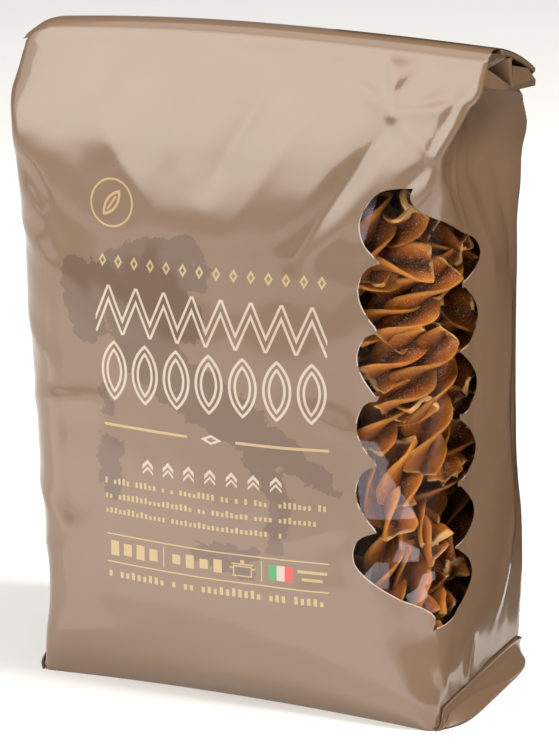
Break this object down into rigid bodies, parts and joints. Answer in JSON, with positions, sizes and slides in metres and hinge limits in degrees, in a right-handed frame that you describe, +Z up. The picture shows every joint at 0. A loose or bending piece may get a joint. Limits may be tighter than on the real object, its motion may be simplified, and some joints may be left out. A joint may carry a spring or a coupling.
{
  "type": "pasta packet",
  "caption": "Stand-up block-bottom film bag of wholemeal pasta spirals, gusseted sides, top folded to the back, tall scalloped clear window round one front corner",
  "frame": {"origin": "middle of the flat base, on the surface the bag stands on", "axes": "+X to the right of the printed front, +Y to the back, +Z up"},
  "size_m": [0.1424, 0.08, 0.198],
  "materials": {
    "printed_film": "satin tan printed film",
    "wholemeal_pasta": "dry rough amber-brown pasta with paler broken edges",
    "clear_film": "clear glossy film"
  },
  "bodies": {
    "root": {"bag": "printed_film", "pasta": "wholemeal_pasta", "window_film": "clear_film"}
  },
  "joints": []
}
